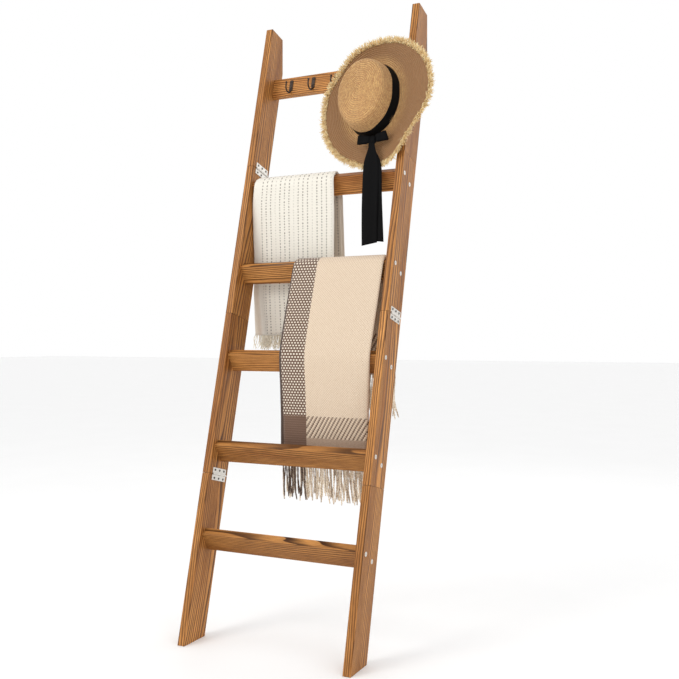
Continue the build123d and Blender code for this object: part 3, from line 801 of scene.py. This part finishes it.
def beige_group(u, source):
    """Brown strands under the border, and cream and taupe ones between."""
    if min(u, BEIGE_WIDTH - u) < BAND:
        return 0
    return 1 if source.random() < 0.62 else 2


build = Build()
fringe(
    build,
    beige_grid,
    beige_own,
    length=0.124,
    pitch=0.0095,
    radius=0.0017,
    spec={
        "seed": 34, "ragged": 0.24, "sway": 0.055, "steps": 26, "sides": 7, "knot": 0.35, "twist": 0.75, "lobes": 0.22,
    },
    groups=beige_group,
)
beige_fringe = build.piece("beige_throw_strands", [brown_yarn, cream_yarn, taupe_yarn])
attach(beige_fringe, "beige_throw_body")
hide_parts("beige_throw_fringe")

# ---------------------------------------------------------------- hat
# In the hat's own frame: +Z out of the crown, X across, Y up the brim.
straw_low, straw_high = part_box("hat_straw")
# the origin, from the middle, back and top of the hat's CAD box
hat_place = Vector(((straw_low.x + straw_high.x) / 2 - 0.0060, straw_high.y - 0.0438, straw_high.z - 0.1832))
HAT_YAW, HAT_TIP = math.radians(-8.0), math.radians(80.0)
hat_matrix = np.array(Matrix.Rotation(HAT_YAW, 3, "Z") @ Matrix.Rotation(HAT_TIP, 3, "X"))
CROWN = (0.082, 0.104)            # half sizes of the crown's foot
CROWN_SHIFT = (0.001, -0.011)
FOOT = 1.045                      # the crown's last share, where the brim starts
BRIM_CENTRE = (0.017, -0.022)
BRIM = (0.175, 0.178)             # half sizes of the brim's edge
# (how far the brim's edge is drawn in, and the middle and half width of that stretch in degrees)
INSETS = ((0.022, -42, 27), (0.004, -14, 14), (0.007, 144, 15), (-0.004, -90, 16))
ROW = 0.0052                      # one plaited row
STRAW = 0.0020
BRIM_STEPS = 74


def hat_world(points):
    return np.asarray(points, float) @ hat_matrix.T + np.array(hat_place)


def hat_local(x, y, z):
    """Points from separate coordinates that broadcast together."""
    return np.stack(np.broadcast_arrays(x, y, z), axis=-1)


def bell(angle, centre, width):
    """A smooth bump round an angle, in degrees."""
    away = (np.degrees(angle) - centre + 180.0) % 360.0 - 180.0
    return np.exp(-((away / width) ** 2))


def crown_profile(steps):
    """Shares of the crown's half sizes, heights and distances, from the top's middle to the foot, evenly spaced."""
    knots = [
        (0.008, 0.0830), (0.30, 0.0825), (0.60, 0.0805), (0.80, 0.0765), (0.862, 0.0725), (0.898, 0.0655),
        (0.918, 0.0550), (0.945, 0.0380), (0.968, 0.0200), (0.985, 0.0080), (1.005, 0.0020), (FOOT, 0.0002),
    ]
    dense = np.array(knots)
    for _ in range(3):
        quarter = dense[:-1] * 0.75 + dense[1:] * 0.25
        beyond = dense[:-1] * 0.25 + dense[1:] * 0.75
        dense = np.concatenate([dense[:1], np.stack([quarter, beyond], 1).reshape(-1, 2), dense[-1:]])
    metres = dense * np.array([(CROWN[0] + CROWN[1]) / 2, 1.0])
    along = np.concatenate([[0], np.cumsum(np.linalg.norm(np.diff(metres, axis=0), axis=1))])
    at = np.linspace(0, along[-1], steps)
    return np.interp(at, along, dense[:, 0]), np.interp(at, along, dense[:, 1]), at


def rim_point(angle):
    """The woven brim's edge, with its cup towards the viewer and its bent lower right side."""
    inset = sum(size * bell(angle, centre, width) for size, centre, width in INSETS)
    x = BRIM_CENTRE[0] + (BRIM[0] - inset) * np.cos(angle)
    y = BRIM_CENTRE[1] + (BRIM[1] - inset) * np.sin(angle)
    z = 0.012 + 0.004 * np.cos(angle + math.radians(35)) + 0.002 * np.sin(3 * angle + 1.0)
    z = z + 0.006 * bell(angle, -25, 18) - 0.017 * bell(angle, -84, 26) + 0.0015 * np.sin(7 * angle + 0.5)
    return x, y, z


def brim_point(angle, t):
    """A point of the brim, t from 0 at the crown to 1 at the edge."""
    foot_x = CROWN_SHIFT[0] + FOOT * CROWN[0] * np.cos(angle)
    foot_y = CROWN_SHIFT[1] + FOOT * CROWN[1] * np.sin(angle)
    x, y, z = rim_point(angle)
    rise = t ** 1.9
    sag = 0.0035 * np.sin(math.pi * t) * np.sin(2 * angle + 0.8)
    return hat_local(foot_x + (x - foot_x) * t, foot_y + (y - foot_y) * t, 0.0002 + (z - 0.0002) * rise + sag)


TURNS = 252
angles = np.linspace(0, 2 * math.pi, TURNS, endpoint=False)
share, height, crown_at = crown_profile(150)
crown_x = CROWN_SHIFT[0] + CROWN[0] * share[None, :] * np.cos(angles)[:, None]
crown_y = CROWN_SHIFT[1] + CROWN[1] * share[None, :] * np.sin(angles)[:, None]
dip = -0.0012 * np.sin(2 * angles + 0.4)[:, None] * (share[None, :] < 0.85) * share[None, :]
crown_points = hat_local(crown_x, crown_y, height[None, :] + dip)
brim_t = np.linspace(0, 1, BRIM_STEPS + 1)[1:]
brim_points = brim_point(angles[:, None], brim_t[None, :])
hat_grid = np.concatenate([crown_points, brim_points], axis=1)
brim_width = np.linalg.norm(brim_points[:, -1] - crown_points[:, -1], axis=1)
hat_s = np.concatenate(
    [np.repeat(crown_at[None, :], TURNS, 0), crown_at[-1] + brim_t[None, :] * brim_width[:, None]], axis=1
)
slope_a = np.roll(hat_grid, -1, 0) - np.roll(hat_grid, 1, 0)
hat_normal = np.cross(slope_a, np.gradient(hat_grid, axis=1))
hat_normal /= np.maximum(np.linalg.norm(hat_normal, axis=2, keepdims=True), 1e-12)
ridge = 0.0008 * np.sin(2 * math.pi * (hat_s / ROW - angles[:, None] / (2 * math.pi)))
hat_grid = hat_grid - hat_normal * ridge[..., None]
hat_own = hat_local(hat_grid[:, :, 0] - CROWN_SHIFT[0], hat_grid[:, :, 1] - CROWN_SHIFT[1], hat_s)
SIDE_START, SIDE_END = 0.088, 0.148   # the crown's upright side, as distances from the top's middle


def straw_material(name):
    """Straw plaited in one spiral of rows. Each row is a braid of slanting strips."""
    n = Nodes(name)
    vector, (x, y, s) = n.own()
    angle = n.maths("ARCTAN2", y, x)
    spiral = n.maths("SUBTRACT", n.maths("DIVIDE", s, ROW), n.maths("DIVIDE", angle, 2 * math.pi))
    row = n.maths("FLOOR", spiral)
    across = n.maths("FRACT", spiral)
    flat = n.maths("MINIMUM", s, SIDE_START)
    radius = n.maths("ADD", flat, n.maths("MAXIMUM", n.maths("SUBTRACT", s, SIDE_END), 0.0))
    row_radius = n.scaled(n.count(radius, ROW), ROW)
    arc = n.maths("DIVIDE", n.maths("MULTIPLY", angle, n.maths("ADD", row_radius, ROW / 2)), 0.0036)
    braid = n.maths("ADD", arc, n.scaled(n.off_middle(across), 1.5))
    strand = n.maths("FRACT", braid)
    strip = n.maths("FLOOR", braid)
    key = n.tree.nodes.new("ShaderNodeCombineXYZ")
    n.put(key.inputs[0], strip)
    n.put(key.inputs[1], row)
    n.put(key.inputs[2], n.maths("GREATER_THAN", across, 0.5))
    chance = n.add("ShaderNodeTexWhiteNoise", Vector=key.outputs[0]).outputs["Value"]
    seam = n.spread(n.off_middle(across), 0.34, 0.5, smooth=True)
    edge = n.spread(n.off_middle(strand), 0.30, 0.5, smooth=True)
    fibre = n.noise(vector, 900.0, 3.0, 0.6)
    broad = n.noise(vector, 26.0, 2.0)
    colour = n.mix(chance, linear(166, 112, 60), linear(218, 172, 108))
    colour = n.mix(n.spread(broad, 0.35, 0.7, 0.0, 0.35), colour, linear(184, 134, 82))
    colour = n.mix(n.maths("MULTIPLY", edge, 0.46), colour, linear(120, 80, 42))
    colour = n.mix(n.maths("MULTIPLY", seam, 0.75), colour, linear(108, 70, 36))
    # painted shade: the brim, out from the crown's side, is darkened towards brown as if shaded inside its cup
    brim_painted_shade = n.spread(s, SIDE_END + 0.004, SIDE_END + 0.045, 0.0, 0.92, smooth=True)
    colour = n.mix(brim_painted_shade, colour, linear(118, 72, 30))
    colour = n.mix(n.spread(fibre, 0.3, 0.75, 0.0, 0.25), colour, linear(240, 208, 156))
    relief = n.maths("SUBTRACT", n.scaled(fibre, 0.25), n.scaled(edge, 0.55))
    relief = n.maths("SUBTRACT", relief, n.scaled(seam, 0.8))
    return n.finish(
        Base_Color=colour,
        Roughness=0.72,
        Normal=n.bump(relief, 0.0007, 0.8),
        Sheen_Weight=0.1,
        Coat_Weight=0.04,
    )


def raffia_material(name):
    """Loose strands, each of its own paleness, darker at the root."""
    n = Nodes(name)
    _, (along, pick, _) = n.own()
    colour = n.mix(pick, linear(222, 184, 124), linear(254, 238, 190))
    colour = n.mix(n.spread(along, 0.0, 0.6, 0.35, 0.0), colour, linear(176, 128, 74))
    fibre = n.noise(n.objects(), 700.0, 3.0)
    colour = n.mix(n.spread(fibre, 0.4, 0.75, 0.0, 0.3), colour, linear(190, 150, 92))
    return n.finish(Base_Color=colour, Roughness=0.68, Normal=n.bump(fibre, 0.0003, 0.5), Coat_Weight=0.05)


build = Build()
shell(build, hat_world(hat_grid), hat_own, STRAW, closed=True)
hat_body = build.piece("hat_plaited_straw", [straw_material("plaited_straw")])
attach(hat_body, "hat_body")
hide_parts("hat_straw")

# frayed edge: short flat strands that stick out all round
source = random.Random(61)
build = Build()
FRAYS = 2700
FRAY_STEPS = ((0.0, 1.0), (0.35, 1.0), (0.7, 0.85), (1.0, 0.35))   # (share of the length, share of the width)
for k in range(FRAYS):
    angle = 2 * math.pi * (k + source.uniform(-0.4, 0.4)) / FRAYS
    t = 1.0 - 0.09 * source.random() ** 1.6
    root = brim_point(np.array(angle), t)
    inner = brim_point(np.array(angle), t - 0.06)
    beside = brim_point(np.array(angle + 0.01), t)
    out = (root - inner) / np.linalg.norm(root - inner)
    side = (beside - root) / np.linalg.norm(beside - root)
    up = np.cross(out, side) * -1.0
    up = up if up[2] > 0 else -up
    length = source.uniform(0.010, 0.0190)
    yaw, pitch = source.gauss(0, 0.55), source.gauss(0.25, 0.42)
    raised = 0.8 - 0.7 * float(bell(np.array(angle), -86, 20))   # hardly any behind the ribbon's tails
    way = out * math.cos(yaw) + side * math.sin(yaw) + up * math.sin(pitch) * raised
    way /= np.linalg.norm(way)
    curl = side * source.gauss(0, 0.0026) + up * source.gauss(0.0, 0.0026)
    start = root + up * (0.0012 + 0.0012 * source.random())
    line = [hat_world(start + way * length * q + curl * q * q) for q, _ in FRAY_STEPS]
    wide = source.uniform(0.0006, 0.0012)
    pick = source.random()
    widths, attributes = [wide * share for _, share in FRAY_STEPS], [(q, pick, 0.0) for q, _ in FRAY_STEPS]
    tube(build, line, widths, 4, attributes, twist=0.5, lobes=0.35)
frays = build.piece("hat_frayed_edge", [raffia_material("raffia")])
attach(frays, "hat_body")


# ---- ribbon: band, bow and tails
def ribbon_material(name):
    n = Nodes(name)
    vector, (u, v, _) = n.own()
    rib = n.off_middle(n.fraction(u, 0.0012))
    thread = n.noise(vector, 800.0, 2.0)
    edge_band = n.spread(v, 0.0, 0.0015, 1.0, 0.0)
    colour = n.mix(n.spread(thread, 0.3, 0.7), (0.0016, 0.0016, 0.0019), (0.0042, 0.0042, 0.0046))
    colour = n.mix(n.maths("MULTIPLY", edge_band, 0.4), colour, (0.008, 0.008, 0.009))
    height = n.maths("ADD", rib, n.scaled(thread, 0.4))
    return n.finish(
        Base_Color=colour, Roughness=0.75, Normal=n.bump(height, 0.0004, 0.6), Specular_IOR_Level=0.1
    )


black = ribbon_material("black_ribbon_weave")
RIBBON = 0.0008                        # thickness
band_low, band_high = 0.003, 0.0285    # heights on the crown
level = np.linspace(0, 1, 9)[None, :]
band_top = band_high + 0.0055 * np.cos(angles)[:, None]
levels = band_low + (band_top - band_low) * level
level_share = np.interp(levels, height[::-1], share[::-1])
wave = 0.0008 * np.sin(5 * angles + 1.0) + 0.0005 * np.sin(11 * angles)
reach = 0.0019 + 0.0004 * np.sin(3 * angles)
band_x = CROWN_SHIFT[0] + (CROWN[0] * level_share + reach[:, None]) * np.cos(angles)[:, None]
band_y = CROWN_SHIFT[1] + (CROWN[1] * level_share + reach[:, None]) * np.sin(angles)[:, None]
band_grid = hat_local(band_x, band_y, levels + wave[:, None])
band_own = hat_local(angles[:, None] * 0.094, (band_top - band_low) * np.minimum(level, 1 - level), 0.0)
build = Build()
shell(build, hat_world(band_grid), band_own, RIBBON, closed=True)
ribbon = build.piece("hat_ribbon", [black])
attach(ribbon, "hat_body")
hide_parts("hat_ribbon_band")

bow_low, bow_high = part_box("hat_bow")
knot = np.array([(bow_low.x + bow_high.x) / 2 + 0.001, bow_low.y + 0.008, (bow_low.z + bow_high.z) / 2])


def strip(path, half_width, across):
    """A flat ribbon along a path: across gives its width direction at each point, half_width its half width."""
    path = np.asarray(path, float)
    across = np.asarray(across, float)
    across = across / np.linalg.norm(across, axis=1, keepdims=True)
    shares = np.linspace(-1, 1, 9)
    grid = path[:, None, :] + across[:, None, :] * (half_width[:, None] * shares[None, :])[..., None]
    along = np.concatenate([[0], np.cumsum(np.linalg.norm(np.diff(path, axis=0), axis=1))])
    own = np.zeros_like(grid)
    own[:, :, 0] = along[:, None]
    own[:, :, 1] = half_width[:, None] * (1 - np.abs(shares[None, :]))
    return grid, own


build = Build()
# each loop: which way, length, rise at its end, and lean in radians
for way, long, lift, lean in ((-1, 0.047, 0.000, 0.06), (1, 0.042, 0.004, 0.12)):
    t = np.linspace(0, 2 * math.pi, 41)
    out = long * 0.5 * (1 - np.cos(t)) * way
    thick = 0.0075 * np.sin(t) * (0.35 + 0.65 * np.sin(t / 2))
    rise = lift * np.abs(out) / long + out * way * math.sin(lean)
    path = np.stack([knot[0] + out * math.cos(lean), knot[1] - 0.006 - thick, knot[2] + rise], axis=1)
    widths = 0.0045 + 0.0075 * np.sin(t / 2) ** 0.8
    across = np.stack([-0.25 * way * np.ones_like(t), 0.25 * np.cos(t), np.ones_like(t)], axis=1)
    grid, own = strip(path, widths, across)
    grid[:, :, 1] += 0.0016 * np.sin(own[:, :, 0] * 260)
    shell(build, grid, own, RIBBON)
t = np.linspace(0, 2 * math.pi, 25)[:-1]
knot_grid = np.zeros((24, 9, 3))
for j, q in enumerate(np.linspace(-1, 1, 9)):
    swell = 1.0 - 0.22 * q * q
    knot_grid[:, j, 0] = knot[0] + 0.0075 * q + 0.0008 * np.sin(3 * t + q)
    knot_grid[:, j, 1] = knot[1] - 0.006 + 0.0075 * swell * np.cos(t)
    knot_grid[:, j, 2] = knot[2] + 0.0105 * swell * np.sin(t)
knot_own = np.zeros_like(knot_grid)
knot_own[:, :, 0] = t[:, None] * 0.009
knot_own[:, :, 1] = 0.004
shell(build, knot_grid, knot_own, RIBBON * 1.5, closed=True)
bow = build.piece("hat_bow_loops", [black])
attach(bow, "hat_body")
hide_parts("hat_bow")

tail_low, tail_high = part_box("hat_ribbon_tails")
tail_x = (tail_low.x + tail_high.x) / 2
TAIL_HALF, TAIL_NARROW = 0.0225, 0.007   # half widths, open and at the knot
build = Build()
tail_steps = np.linspace(0, 1, 64)
# each tail: sideways shift, start below the knot, length, depth, slant of its end, and phase of its waves
for shift, start, length, depth, slant, phase in (
    (-0.003, 0.000, 0.281, 0.0022, 0.004, 0.3),
    (0.010, 0.004, 0.270, 0.0056, -0.003, 1.7),
):
    fallen = tail_steps * length
    z = knot[2] - 0.004 - start - fallen
    open_share = 1 - np.exp(-((fallen + 0.002) / 0.044) ** 2.2)
    drift = 0.008 * (tail_steps - 0.5) * (1 if shift > 0 else -0.2)
    x = tail_x + shift * open_share + 0.0018 * np.sin(fallen * 18 + phase) + drift
    back = np.clip(1 - fallen / 0.05, 0, 1) ** 2 * max(0.0, knot[1] - 0.010 - tail_low.y - depth)
    y = tail_low.y + depth + 0.0012 * np.sin(fallen * 30 + phase) + back
    path = np.stack([x, y, z], axis=1)
    halves = TAIL_NARROW + (TAIL_HALF - TAIL_NARROW) * open_share
    across = np.stack([np.ones_like(x), 0.10 * np.sin(fallen * 9 + phase), 0 * x], axis=1)
    grid, own = strip(path, halves, across)
    spread = (np.arange(9) - 4) / 4
    grid[:, :, 1] += (0.0011 * np.sin(spread * 2.6 + phase))[None, :] * open_share[:, None]
    grid[-1, :, 2] += slant * spread
    shell(build, grid, own, RIBBON)
tails = build.piece("hat_tails", [black])
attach(tails, "hat_body")
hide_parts("hat_ribbon_tails")


# ---- sweatband inside the crown
def band_material(name):
    n = Nodes(name)
    vector, (u, v, _) = n.own()
    twill = n.fraction(n.maths("ADD", u, v), 0.0018)
    thread = n.noise(vector, 700.0, 2.0)
    colour = n.mix(n.spread(thread, 0.3, 0.7), linear(206, 188, 154), linear(230, 216, 186))
    stitch = n.maths("MULTIPLY", n.spread(v, 0.0022, 0.0028), n.spread(v, 0.0042, 0.0036))
    dash = n.maths("GREATER_THAN", n.fraction(u, 0.004), 0.35)
    colour = n.mix(n.maths("MULTIPLY", n.maths("MULTIPLY", stitch, dash), 0.6), colour, linear(150, 118, 78))
    return n.finish(Base_Color=colour, Roughness=0.85, Normal=n.bump(n.maths("ADD", twill, thread), 0.0003, 0.5))


SWEAT_FRONT, SWEAT_REAR, SWEAT_STEPS = 0.014, -0.033, 25   # heights in the crown and behind its foot
SWEAT = (CROWN[0] - 0.006, CROWN[1] - 0.0125)              # half sizes
SWEAT_DOWN = 0.004
deep = np.linspace(0, 1, SWEAT_STEPS)[None, :]
sweat_rear = (SWEAT_REAR + 0.011 * bell(angles, 97, 9) + 0.0008 * np.sin(9 * angles))[:, None]
sweat_grid = hat_local(
    SWEAT[0] * np.cos(angles)[:, None],
    SWEAT[1] * np.sin(angles)[:, None] - SWEAT_DOWN,
    sweat_rear + (SWEAT_FRONT - sweat_rear) * deep,
)
inside = (SWEAT_FRONT - SWEAT_REAR) * np.minimum(deep, 1 - deep)
sweat_own = hat_local(angles[:, None] * 0.09, inside, 0.0)
build = Build()
shell(build, hat_world(sweat_grid), sweat_own, 0.0009, closed=True)
sweat = build.piece("hat_inner_band", [band_material("inner_band_tape")])
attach(sweat, "hat_body")
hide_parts("hat_sweatband")

[[list(corner) for corner in box] for box in (cad_box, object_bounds())]
